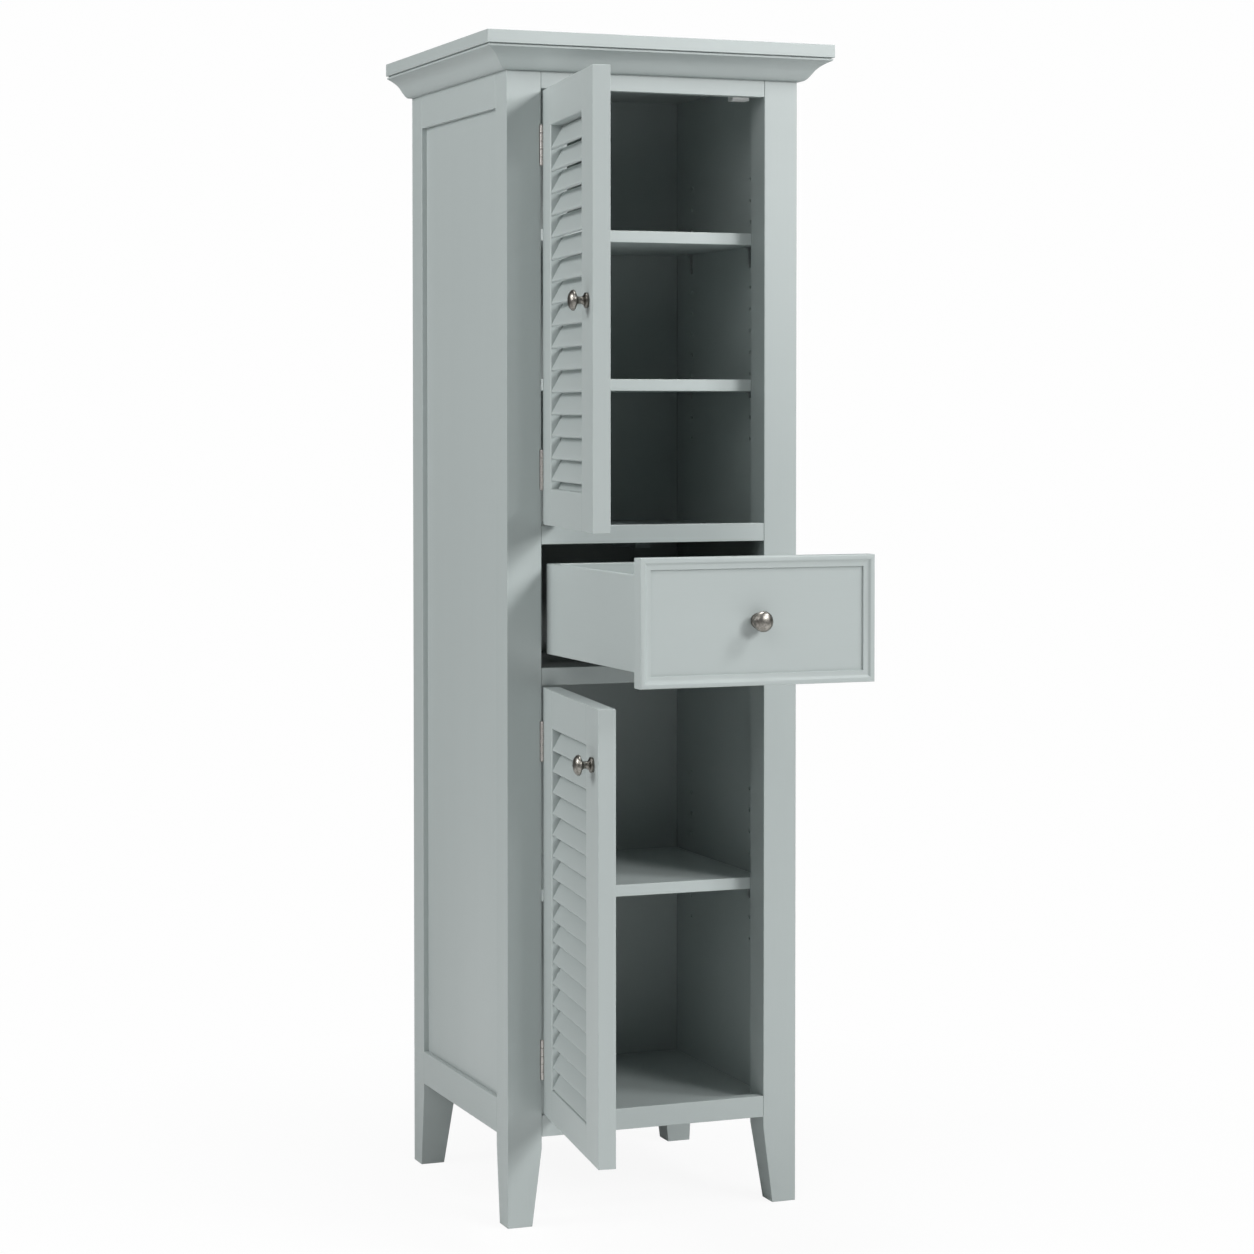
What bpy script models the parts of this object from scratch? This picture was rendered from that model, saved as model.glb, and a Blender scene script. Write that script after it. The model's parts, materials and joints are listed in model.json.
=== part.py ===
"""Tall pantry cabinet: two louvred doors on butt hinges and one drawer on a telescopic runner.

Metres, +Z up, front towards -Y. The doors stand open and the drawer is drawn out; the origin is on the
floor, under the middle of that open pose. Doors are built closed under an empty on the hinge line and
the empty is turned; the drawer is built shut under an empty that is moved forwards.
"""

import math

import bmesh
import bpy

GAP = 0.0003  # clearance between touching pieces

# Carcass
WIDTH = 0.4445
DEPTH = 0.4416
POST_TOP = 1.6627
POST_WIDTH = 0.0510
POST_DEPTH = 0.0489
FOOT_WIDTH = 0.0367
FOOT_DEPTH = 0.0358
TAPER_TOP = 0.1100
FRONT_RAIL_THICKNESS = 0.0180
BACK_RAIL_THICKNESS = 0.0220
BOARD = 0.0170
LIP = 0.0075  # how far a front rail stands above the deck behind it
TOP_RAIL_BOTTOM = 1.6068
MID_RAIL = (0.9666, 0.9923)
LOW_RAIL = (0.7674, 0.7921)
BOTTOM_RAIL = (0.1267, 0.1574)
CEILING = 1.6324
SIDE_TOP_RAIL_BOTTOM = 1.5815
SIDE_BOTTOM_RAIL = (0.1271, 0.1769)
SIDE_RECESS = 0.0072
INSIDE_HALF = 0.1937
INSIDE_DEPTH = 0.3868
BACK_THICKNESS = 0.0056
SHELF_TOPS = {"upper_shelf": 1.4134, "middle_shelf": 1.2002, "lower_shelf": 0.4703}
SHELF_CLEARANCE = 0.0010

# Crown
CROWN_BOTTOM = 1.6310
CROWN_PROJECTION = 0.0415
MITRE_SHARE = 0.7  # of the gap, taken off each mitred end along the moulding
CAP_THICKNESS = 0.0183
CROWN_SECTION = (  # outwards from the carcass, up from the crown's underside: toe, cove, fillet, quirk
    (0.0, 0.0), (0.0065, 0.0), (0.0085, 0.0010), (0.0115, 0.0034), (0.0144, 0.0066), (0.0172, 0.0106),
    (0.0198, 0.0146), (0.0227, 0.0177), (0.0262, 0.0206), (0.0306, 0.0234), (0.0352, 0.0258),
    (0.0392, 0.0278), (0.0394, 0.0302), (0.0374, 0.0304), (0.0374, 0.0317), (0.0, 0.0317),
)

# Doors
DOOR_THICKNESS = 0.0240
UPPER_DOOR = (0.9948, 1.6036)
LOWER_DOOR = (0.1600, 0.7650)
UPPER_LOUVRE = (1.0460, 1.5500)
LOWER_LOUVRE = (0.2039, 0.7110)
UPPER_SLATS = (17, 1.02544, 0.03066)  # count, height of the lowest slat's lower edge, pitch
LOWER_SLATS = (17, 0.2043, 0.02970)
HINGE_STILE = 0.0540
FREE_STILE = 0.0720
FREE_EDGE_GAP = 0.0025
UPPER_OPEN = math.radians(98.7)
LOWER_OPEN = math.radians(97.5)
SLAT_WIDTH = 0.0370
SLAT_THICKNESS = 0.0045
SLAT_LEAN = math.radians(28.5)
PACK_STRIP = 0.0010
PACK_DEPTH = 0.0210

# Hinges
HINGE_HEIGHT = 0.0565
HINGE_INSET = 0.0765  # from a door's end to its hinge's middle
HINGE_GAP = 0.0016
BARREL_RADIUS = 0.0028
PIN_STANDOFF = 0.0012  # hinge line to the closed door's face
PIN_RADIUS = 0.0012
BORE_RADIUS = 0.0016
LEAF_THICKNESS = 0.0010
LEAF_DEPTH = 0.0180
TAB_REACH = 0.0009  # of a knuckle's tab, past the barrel
KNUCKLES = 5

# Knobs: (radius, height) from the dome down to the foot
KNOB_LENGTH = 0.0265
KNOB_PROFILE = (
    (0.0, 0.0265), (0.0050, 0.0261), (0.0092, 0.0248), (0.0122, 0.0226), (0.0137, 0.0204), (0.0139, 0.0189),
    (0.0129, 0.0173), (0.0100, 0.0158), (0.0066, 0.0144), (0.0051, 0.0124), (0.0049, 0.0095),
    (0.0056, 0.0070), (0.0076, 0.0050), (0.0098, 0.0039), (0.0104, 0.0028), (0.0104, 0.0), (0.0, 0.0),
)
KNOB_FROM_EDGE = 0.0305
LOWER_KNOB_DROP = 0.0755

# Drawer
DRAWER_OUT = 0.3745
DRAWER_FRONT = (0.7926, 0.9632)
DRAWER_FRONT_HALF = 0.16845
DRAWER_FRONT_THICKNESS = 0.0225
DRAWER_MOULDING = (  # inset, drop: one step of the moulded face after another
    (0.0008, 0.0), (0.0046, 0.0), (0.0042, -0.0024), (0.0030, -0.0009), (0.0030, -0.0002), (0.0005, -0.0030),
)
DRAWER_FRONT_EASE = 0.0010
DRAWER_BOX_HALF = 0.1617
DRAWER_BOX = (0.8115, 0.9392)
DRAWER_BOX_BACK = 0.3805
DRAWER_SIDE = 0.0120
DRAWER_BOTTOM = (0.8194, 0.8244)

# Telescopic runner and kicker
RUNNER_START = 0.0240
RUNNER_END = 0.3800
CHANNEL_HALF = 0.0200
CHANNEL_HEIGHT = 0.0100
CHANNEL_WALL = 0.0015
CHANNEL_LIP = 0.0070
RUNNER_PLAY = 0.0005  # between the rails, and under the fixed rail
FLANGE_THICKNESS = 0.0025
WEB_HALF = 0.0070
KICKER_X = 0.0060
KICKER_HALF = 0.0115
KICKER_BOTTOM = 0.9565
KICKER_START = 0.0600

# Catches
UPPER_CATCH = (0.1313, 0.1575)
LOWER_CATCH = (0.1335, 0.1665)
UPPER_CATCH_DROP = 0.0040
UPPER_CATCH_DEPTH = 0.0170
UPPER_CATCH_HEIGHT = 0.0170
LOWER_CATCH_DROP = 0.0058
LOWER_CATCH_DEPTH = 0.0220
CATCH_CLEARANCE = 0.0008

# Worked out
FRONT = (DRAWER_OUT + KNOB_LENGTH - DEPTH) / 2  # the open pose is centred on the origin in Y
REAR = FRONT + DEPTH
OPENING = WIDTH / 2 - POST_WIDTH
POST_BACK = FRONT + POST_DEPTH
REAR_POST_FRONT = REAR - POST_DEPTH
BACK_FACE = FRONT + INSIDE_DEPTH
PIVOT_X = -OPENING + HINGE_GAP / 2
PIVOT_Y = FRONT - PIN_STANDOFF
DOOR_LEFT = -OPENING + HINGE_GAP
DOOR_RIGHT = OPENING - FREE_EDGE_GAP
DOOR_BACK = FRONT + DOOR_THICKNESS
TOTAL_HEIGHT = POST_TOP + GAP + CAP_THICKNESS

PAINT = (0.52, 0.57, 0.565)
PEWTER = (0.23, 0.21, 0.19)
NICKEL = (0.46, 0.44, 0.41)
STEEL = (0.55, 0.56, 0.57)
PLASTIC = (0.72, 0.72, 0.70)


def clear_scene():
    for obj in list(bpy.data.objects):
        bpy.data.objects.remove(obj, do_unlink=True)


def collection(name):
    found = bpy.data.collections.get(name) or bpy.data.collections.new(name)
    if name not in bpy.context.scene.collection.children:
        bpy.context.scene.collection.children.link(found)
    return found


def material(name, colour, roughness, metallic=0.0):
    mat = bpy.data.materials.new(name)
    mat.use_nodes = True
    shader = mat.node_tree.nodes["Principled BSDF"]
    shader.inputs["Base Color"].default_value = (*colour, 1.0)
    shader.inputs["Roughness"].default_value = roughness
    shader.inputs["Metallic"].default_value = metallic
    return mat


def paint(name):
    return material(name + "_paint", PAINT, 0.45)


def add(name, data, mat=None, parent=None):
    """Puts mesh or curve data in the cabinet's collection, or among the cutters if it has no material."""
    obj = bpy.data.objects.new(name, data)
    if mat is None:
        CUTTERS.objects.link(obj)
        obj.hide_render = True
        obj.display_type = "WIRE"
    else:
        PARTS.objects.link(obj)
        data.materials.append(mat)
    obj.parent = parent
    return obj


def mesh_of(bm, name):
    data = bpy.data.meshes.new(name)
    bmesh.ops.recalc_face_normals(bm, faces=bm.faces)
    bm.to_mesh(data)
    bm.free()
    return data


def add_box(bm, low, high):
    """Adds a block between two corners to an open bmesh and returns its points."""
    made = bmesh.ops.create_cube(bm, size=1.0)["verts"]
    size = [b - a for a, b in zip(low, high)]
    middle = [(a + b) / 2 for a, b in zip(low, high)]
    bmesh.ops.scale(bm, vec=size, verts=made)
    bmesh.ops.translate(bm, vec=middle, verts=made)
    return made


def block(name, low, high, mat=None, parent=None):
    bm = bmesh.new()
    middle = [(a + b) / 2 for a, b in zip(low, high)]
    add_box(bm, [a - m for a, m in zip(low, middle)], [b - m for b, m in zip(high, middle)])
    obj = add(name, mesh_of(bm, name), mat, parent)
    obj.location = middle
    return obj


def extruded(name, outlines, start, end, along="Z", mat=None, parent=None):
    """Extrudes flat outlines along an axis; any outline after the first is a hole."""
    curve = bpy.data.curves.new(name, "CURVE")
    curve.dimensions = "2D"
    curve.fill_mode = "BOTH"
    curve.extrude = (end - start) / 2
    for outline in outlines:
        spline = curve.splines.new("POLY")
        spline.points.add(len(outline) - 1)
        for point, (a, b) in zip(spline.points, outline):
            point.co = (a, b, 0.0, 1.0)
        spline.use_cyclic_u = True
    obj = add(name, curve, mat, parent)
    middle = (start + end) / 2
    if along == "Z":
        obj.location = (0.0, 0.0, middle)
    elif along == "Y":  # the outline is drawn in X and Z
        obj.rotation_euler = (math.pi / 2, 0.0, 0.0)
        obj.location = (0.0, middle, 0.0)
    else:  # along X: the outline is drawn in Y and Z
        obj.rotation_euler = (math.pi / 2, 0.0, math.pi / 2)
        obj.location = (middle, 0.0, 0.0)
    return obj


def meshed(obj):
    """Turns an extruded outline into a mesh object with welded caps, so that it can take Booleans."""
    bpy.context.view_layer.update()
    evaluated = obj.evaluated_get(bpy.context.evaluated_depsgraph_get())
    bm = bmesh.new()
    bm.from_mesh(bpy.data.meshes.new_from_object(evaluated))
    bmesh.ops.remove_doubles(bm, verts=bm.verts, dist=1e-6)
    data = mesh_of(bm, obj.name)
    name, parent, place, mats = obj.name, obj.parent, obj.matrix_basis.copy(), obj.data.materials[:]
    bpy.data.objects.remove(obj, do_unlink=True)
    made = add(name, data, mats[0] if mats else None, parent)
    made.matrix_basis = place
    return made


def boolean(target, other, operation):
    modifier = target.modifiers.new(operation.lower(), "BOOLEAN")
    modifier.operation = operation
    modifier.solver = "EXACT"
    modifier.object = other


def posts():
    """Four posts, tapered on their two inner faces from TAPER_TOP down to the foot."""
    for row, front in (("front", True), ("rear", False)):
        for side, sx in (("left", -1), ("right", 1)):
            name = f"{row}_{side}_post"
            outer_x = sx * WIDTH / 2
            inner_x = outer_x - sx * POST_WIDTH
            outer_y, inner_y = (FRONT, POST_BACK) if front else (REAR, REAR_POST_FRONT)
            bm = bmesh.new()
            low = (min(outer_x, inner_x), min(outer_y, inner_y), TAPER_TOP)
            high = (max(outer_x, inner_x), max(outer_y, inner_y), POST_TOP)
            add_box(bm, low, high)
            bm.faces.ensure_lookup_table()
            sole = min(bm.faces, key=lambda f: f.calc_center_median().z)
            grown = bmesh.ops.extrude_face_region(bm, geom=[sole])["geom"]
            bmesh.ops.delete(bm, geom=[sole], context="FACES_ONLY")
            foot_y = FRONT + FOOT_DEPTH if front else REAR - FOOT_DEPTH
            for v in (g for g in grown if isinstance(g, bmesh.types.BMVert)):
                v.co.z = 0.0
                if abs(v.co.x - inner_x) < GAP:
                    v.co.x = outer_x - sx * FOOT_WIDTH
                if abs(v.co.y - inner_y) < GAP:
                    v.co.y = foot_y
            add(name, mesh_of(bm, name), paint(name))


def carcass():
    half = OPENING - GAP
    rails = {
        "top_rail": (TOP_RAIL_BOTTOM, POST_TOP),
        "middle_rail": MID_RAIL,
        "low_rail": LOW_RAIL,
        "bottom_rail": BOTTOM_RAIL,
    }
    for name, (low, high) in rails.items():
        block(name, (-half, FRONT, low), (half, FRONT + FRONT_RAIL_THICKNESS, high), paint(name))
    side_rails = {"top": (SIDE_TOP_RAIL_BOTTOM, POST_TOP), "bottom": SIDE_BOTTOM_RAIL}
    near, far = POST_BACK + GAP, REAR_POST_FRONT - GAP
    for level, (low, high) in side_rails.items():
        name = f"back_{level}_rail"
        block(name, (-half, REAR - BACK_RAIL_THICKNESS, low), (half, REAR, high), paint(name))
        for side, sx in (("left", -1), ("right", 1)):
            name = f"{side}_side_{level}_rail"
            xs = sorted((sx * (WIDTH / 2 - SIDE_RECESS), sx * WIDTH / 2))
            block(name, (xs[0], near, low), (xs[1], far, high), paint(name))
    for side, sx in (("left", -1), ("right", 1)):
        name = f"{side}_side_board"
        xs = sorted((sx * INSIDE_HALF, sx * (WIDTH / 2 - SIDE_RECESS - GAP)))
        block(name, (xs[0], near, SIDE_BOTTOM_RAIL[0]), (xs[1], far, POST_TOP), paint(name))
    wide = INSIDE_HALF - GAP
    floor = BOTTOM_RAIL[1] - LIP - BOARD
    block("back_panel", (-wide, BACK_FACE + GAP, floor),
          (wide, BACK_FACE + BACK_THICKNESS, CEILING + BOARD), paint("back_panel"))


def decks():
    """Fixed boards, notched round the front posts, and the loose shelves behind the posts."""
    wide, narrow = INSIDE_HALF - GAP, OPENING - GAP
    front, notch = FRONT + FRONT_RAIL_THICKNESS + GAP, POST_BACK + GAP
    outline = [
        (-narrow, front), (narrow, front), (narrow, notch), (wide, notch), (wide, BACK_FACE),
        (-wide, BACK_FACE), (-wide, notch), (-narrow, notch),
    ]
    tops = {
        "top_board": CEILING + BOARD,
        "upper_deck": MID_RAIL[1] - LIP,
        "drawer_deck": LOW_RAIL[1] - LIP,
        "bottom_deck": BOTTOM_RAIL[1] - LIP,
    }
    for name, top in tops.items():
        meshed(extruded(name, [outline], top - BOARD, top, "Z", paint(name)))
    half = INSIDE_HALF - SHELF_CLEARANCE
    for name, top in SHELF_TOPS.items():
        block(name, (-half, POST_BACK + SHELF_CLEARANCE, top - BOARD),
              (half, BACK_FACE - SHELF_CLEARANCE, top), paint(name))


def moulding(name, start, end, place, cuts):
    """A length of crown moulding along X, facing -Y, cut by planes, then placed by a matrix function."""
    bm = bmesh.new()
    section = [bm.verts.new((start, -out, up)) for out, up in CROWN_SECTION]
    face = bm.faces.new(section)
    grown = bmesh.ops.extrude_face_region(bm, geom=[face])["geom"]
    tips = [g for g in grown if isinstance(g, bmesh.types.BMVert)]
    bmesh.ops.translate(bm, vec=(end - start, 0.0, 0.0), verts=tips)
    for point, normal in cuts:
        geometry = bm.verts[:] + bm.edges[:] + bm.faces[:]
        bmesh.ops.bisect_plane(bm, geom=geometry, plane_co=point, plane_no=normal, clear_outer=True)
        open_edges = [e for e in bm.edges if e.is_boundary]
        bmesh.ops.holes_fill(bm, edges=open_edges, sides=0)
    obj = add(name, mesh_of(bm, name), paint(name))
    obj.location, obj.rotation_euler = place


def crown():
    half = WIDTH / 2 + GAP
    reach = half + CROWN_PROJECTION
    mitre = GAP * MITRE_SHARE
    moulding("front_crown_moulding", -reach, reach, ((0.0, FRONT - GAP, CROWN_BOTTOM), (0.0, 0.0, 0.0)),
             [((half - mitre, 0.0, 0.0), (1.0, 1.0, 0.0)), ((-half + mitre, 0.0, 0.0), (-1.0, 1.0, 0.0))])
    long = DEPTH + GAP
    moulding("left_crown_moulding", -long, reach,
             ((-half, FRONT - GAP, CROWN_BOTTOM), (0.0, 0.0, -math.pi / 2)),
             [((-mitre, 0.0, 0.0), (1.0, 1.0, 0.0))])
    moulding("right_crown_moulding", -reach, long,
             ((half, FRONT - GAP, CROWN_BOTTOM), (0.0, 0.0, math.pi / 2)),
             [((mitre, 0.0, 0.0), (-1.0, 1.0, 0.0))])
    edge = WIDTH / 2 + CROWN_PROJECTION
    block("crown_cap", (-edge, FRONT - CROWN_PROJECTION, POST_TOP + GAP), (edge, REAR, TOTAL_HEIGHT),
          paint("crown_cap"))


def knob(name, place, parent):
    bm = bmesh.new()
    points = [bm.verts.new((r, 0.0, h)) for r, h in KNOB_PROFILE]
    for a, b in zip(points, points[1:]):
        bm.edges.new((a, b))
    data = bpy.data.meshes.new(name)
    bm.to_mesh(data)
    bm.free()
    obj = add(name, data, material(name + "_pewter", PEWTER, 0.32, 1.0), parent)
    screw = obj.modifiers.new("turn", "SCREW")
    screw.steps = screw.render_steps = 16
    screw.use_merge_vertices = True
    screw.merge_threshold = 1e-5
    screw.use_smooth_shade = True
    obj.rotation_euler = (math.pi / 2, 0.0, 0.0)
    obj.location = place


def knuckle_outline(sx):
    """Section of a knuckle with the tab that joins it to its leaf, on the left (-1) or right (1)."""
    near, far = HINGE_GAP / 2, HINGE_GAP / 2 + LEAF_THICKNESS
    tab = BARREL_RADIUS + TAB_REACH
    first = math.asin(far / BARREL_RADIUS) + math.pi / 2
    last = math.asin(near / BARREL_RADIUS) + math.pi / 2 + 2 * math.pi
    steps = 12
    angles = [first + (last - first) * i / steps for i in range(steps + 1)]
    ring = [(BARREL_RADIUS * math.cos(a), BARREL_RADIUS * math.sin(a)) for a in angles]
    outline = [(-far, tab)] + ring + [(-near, tab)]
    return [(-sx * x, y) for x, y in outline]


def circle(radius, steps=12):
    angles = [2 * math.pi * i / steps for i in range(steps)]
    return [(radius * math.cos(a), radius * math.sin(a)) for a in angles]


def hinge(name, z, parent):
    """Butt hinge at a height: the fixed leaf carries the pin, the moving leaf turns with the door.

    Leaves are drawn about the hinge line, so the moving one has its origin on the joint's axis.
    """
    near, far = HINGE_GAP / 2, HINGE_GAP / 2 + LEAF_THICKNESS
    plate_front = BARREL_RADIUS + GAP
    pitch = HINGE_HEIGHT / KNUCKLES
    bottom = -HINGE_HEIGHT / 2
    kinds = (("fixed", -1, None, (PIVOT_X, PIVOT_Y, z)), ("moving", 1, parent, (0.0, 0.0, z)))
    for kind, sx, holder, place in kinds:
        leaf = f"{name}_{kind}_leaf"
        xs = sorted((sx * near, sx * far))
        bm = bmesh.new()
        add_box(bm, (xs[0], plate_front, bottom), (xs[1], plate_front + LEAF_DEPTH, -bottom))
        obj = add(leaf, mesh_of(bm, leaf), material(leaf + "_nickel", NICKEL, 0.35, 1.0), holder)
        obj.location = place
        own = range(0, KNUCKLES, 2) if kind == "fixed" else range(1, KNUCKLES, 2)
        for i in own:
            low = bottom + i * pitch + (GAP / 2 if i else 0.0)
            high = bottom + (i + 1) * pitch - (GAP / 2 if i < KNUCKLES - 1 else 0.0)
            rings = [knuckle_outline(sx)]
            if kind == "moving":
                rings.append(circle(BORE_RADIUS))
            cutter = meshed(extruded(f"{leaf}_knuckle_{i}", rings, low, high, "Z", None, obj))
            boolean(obj, cutter, "UNION")
        if kind == "fixed":
            reach = HINGE_HEIGHT / 2 - pitch / 2
            pin = meshed(extruded(f"{leaf}_pin", [circle(PIN_RADIUS)], -reach, reach, "Z", None, obj))
            boolean(obj, pin, "UNION")


def hinge_pocket(target, sx, z, parent, about):
    """Cuts a notch for the barrel and a recess for the leaf; about is the hinge line there."""
    start, leaf, barrel = -GAP, HINGE_GAP / 2 + LEAF_THICKNESS + GAP, BARREL_RADIUS + GAP
    deep = barrel + LEAF_DEPTH + GAP
    notch = [
        (start, -barrel), (barrel, -barrel), (barrel, barrel), (leaf, barrel), (leaf, deep), (start, deep),
    ]
    outline = [(about[0] + sx * x, about[1] + y) for x, y in notch]
    half = HINGE_HEIGHT / 2 + GAP
    cutter = meshed(extruded(f"{target.name}_notch", [outline], z - half, z + half, "Z", None, parent))
    boolean(target, cutter, "DIFFERENCE")


def louvre_pack(name, left, right, opening, slats, parent):
    """Slats leaning back from their lower front edge, joined at their ends by two thin strips.

    A slat that reaches past either end of the opening is cut off level with it.
    """
    count, lowest, pitch = slats
    y = PIN_STANDOFF + DOOR_THICKNESS / 2
    low, high = opening[0] + GAP, opening[1] - GAP
    bm = bmesh.new()
    for x in (left + GAP, right - GAP - PACK_STRIP):
        add_box(bm, (x, y - PACK_DEPTH / 2, low), (x + PACK_STRIP, y + PACK_DEPTH / 2, high))
    pack = add(name, mesh_of(bm, name), paint(name), parent)
    bm = bmesh.new()
    rise = (SLAT_WIDTH * math.cos(SLAT_LEAN) + SLAT_THICKNESS * math.sin(SLAT_LEAN)) / 2
    embed = GAP + PACK_STRIP / 2
    for i in range(count):
        verts = add_box(bm, (left + embed, -SLAT_THICKNESS / 2, -SLAT_WIDTH / 2),
                        (right - embed, SLAT_THICKNESS / 2, SLAT_WIDTH / 2))
        lean = -SLAT_LEAN
        for v in verts:
            vy, vz = v.co.y, v.co.z
            v.co.y = vy * math.cos(lean) - vz * math.sin(lean) + y
            v.co.z = vy * math.sin(lean) + vz * math.cos(lean) + lowest + rise + i * pitch
    for level, up in ((low, -1.0), (high, 1.0)):
        geometry = bm.verts[:] + bm.edges[:] + bm.faces[:]
        bmesh.ops.bisect_plane(bm, geom=geometry, plane_co=(0.0, 0.0, level), plane_no=(0.0, 0.0, up),
                               clear_outer=True)
        bmesh.ops.holes_fill(bm, edges=[e for e in bm.edges if e.is_boundary], sides=0)
    boolean(pack, add(name + "_slats", mesh_of(bm, name + "_slats"), None, parent), "UNION")


def door(prefix, span, opening, slats, angle, knob_z):
    """A louvred door, built closed about its hinge line and then turned open."""
    line = bpy.data.objects.new(prefix + "_door_hinge_line", None)
    PARTS.objects.link(line)
    line.location = (PIVOT_X, PIVOT_Y, 0.0)
    line.rotation_euler = (0.0, 0.0, -angle)
    face = FRONT - PIVOT_Y
    back = face + DOOR_THICKNESS
    left, right = DOOR_LEFT - PIVOT_X, DOOR_RIGHT - PIVOT_X
    inner_left, inner_right = left + HINGE_STILE, right - FREE_STILE
    low, high = span
    pieces = {
        "hinge_stile": ((left, face, low), (inner_left, back, high)),
        "free_stile": ((inner_right, face, low), (right, back, high)),
        "top_rail": ((inner_left + GAP, face, opening[1]), (inner_right - GAP, back, high)),
        "bottom_rail": ((inner_left + GAP, face, low), (inner_right - GAP, back, opening[0])),
    }
    made = {}
    for piece, (a, b) in pieces.items():
        name = f"{prefix}_door_{piece}"
        made[piece] = block(name, a, b, paint(name), line)
    louvre_pack(f"{prefix}_door_louvres", inner_left, inner_right, opening, slats, line)
    knob(f"{prefix}_door_knob", (right - KNOB_FROM_EDGE, face - GAP, knob_z), line)
    for level, z in (("top", high - HINGE_INSET), ("bottom", low + HINGE_INSET)):
        hinge(f"{prefix}_{level}_hinge", z, line)
        hinge_pocket(made["hinge_stile"], 1, z, line, (0.0, 0.0))
        hinge_pocket(bpy.data.objects["front_left_post"], -1, z, None, (PIVOT_X, PIVOT_Y))


def catches():
    """Magnetic catches behind the doors' free corners: one on the top rail, one under the drawer deck."""
    near = FRONT + FRONT_RAIL_THICKNESS + GAP
    face = DOOR_BACK + CATCH_CLEARANCE
    back, low = face + UPPER_CATCH_DEPTH, TOP_RAIL_BOTTOM - UPPER_CATCH_DROP
    step, high = TOP_RAIL_BOTTOM + GAP, low + UPPER_CATCH_HEIGHT
    outline = [(near, step), (face, step), (face, low), (back, low), (back, high), (near, high)]
    plastic = material("upper_catch_plastic", PLASTIC, 0.5)
    meshed(extruded("upper_catch", [outline], *UPPER_CATCH, "X", plastic))
    top = LOW_RAIL[1] - LIP - BOARD - GAP
    block("lower_catch", (LOWER_CATCH[0], face, top - LOWER_CATCH_DROP),
          (LOWER_CATCH[1], face + LOWER_CATCH_DEPTH, top), material("lower_catch_plastic", PLASTIC, 0.5))


def drawer():
    """The drawer, built shut under an empty that carries it out along -Y."""
    slide = bpy.data.objects.new("drawer_slide_line", None)
    PARTS.objects.link(slide)
    slide.location = (0.0, -DRAWER_OUT, 0.0)
    low, high = DRAWER_FRONT
    back = FRONT + DRAWER_FRONT_THICKNESS
    bm = bmesh.new()
    add_box(bm, (-DRAWER_FRONT_HALF, FRONT, low), (DRAWER_FRONT_HALF, back, high))
    face = min(bm.faces, key=lambda f: f.calc_center_median().y)
    bmesh.ops.inset_individual(bm, faces=[face], thickness=0.0, depth=0.0)
    for v in face.verts:
        v.co.y = FRONT
    ring = [v for v in bm.verts if v not in face.verts and v.co.y < FRONT + GAP]
    for v in ring:
        v.co.y = FRONT + DRAWER_FRONT_EASE
    for inset, drop in DRAWER_MOULDING:
        bmesh.ops.inset_individual(bm, faces=[face], thickness=inset, depth=drop)
    bmesh.ops.remove_doubles(bm, verts=bm.verts, dist=1e-6)
    add("drawer_front", mesh_of(bm, "drawer_front"), paint("drawer_front"), slide)
    near, far = back + GAP, FRONT + DRAWER_BOX_BACK
    bottom, top = DRAWER_BOX
    inner = DRAWER_BOX_HALF - DRAWER_SIDE
    for side, sx in (("left", -1), ("right", 1)):
        name = f"drawer_{side}_side"
        xs = sorted((sx * inner, sx * DRAWER_BOX_HALF))
        block(name, (xs[0], near, bottom), (xs[1], far, top), paint(name), slide)
    wide = inner - GAP
    block("drawer_back", (-wide, far - DRAWER_SIDE, DRAWER_BOTTOM[0]), (wide, far, top),
          paint("drawer_back"), slide)
    block("drawer_bottom", (-wide, near, DRAWER_BOTTOM[0]), (wide, far - DRAWER_SIDE - GAP, DRAWER_BOTTOM[1]),
          paint("drawer_bottom"), slide)
    knob_y = FRONT - sum(drop for _, drop in DRAWER_MOULDING) - GAP
    knob("drawer_knob", (0.0, knob_y, (low + high) / 2), slide)
    return slide


def channel(low, high, mouth_up):
    """Section of a lipped channel between two heights, with its mouth up or down."""
    wall, lip, half = CHANNEL_WALL, CHANNEL_LIP, CHANNEL_HALF
    right = [
        (half, 0.0), (half, CHANNEL_HEIGHT), (half - lip, CHANNEL_HEIGHT),
        (half - lip, CHANNEL_HEIGHT - wall), (half - wall, CHANNEL_HEIGHT - wall), (half - wall, wall),
    ]
    outline = right + [(-x, z) for x, z in reversed(right)]
    if mouth_up:
        return [(x, low + z) for x, z in outline]
    return [(x, high - z) for x, z in outline]


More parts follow.
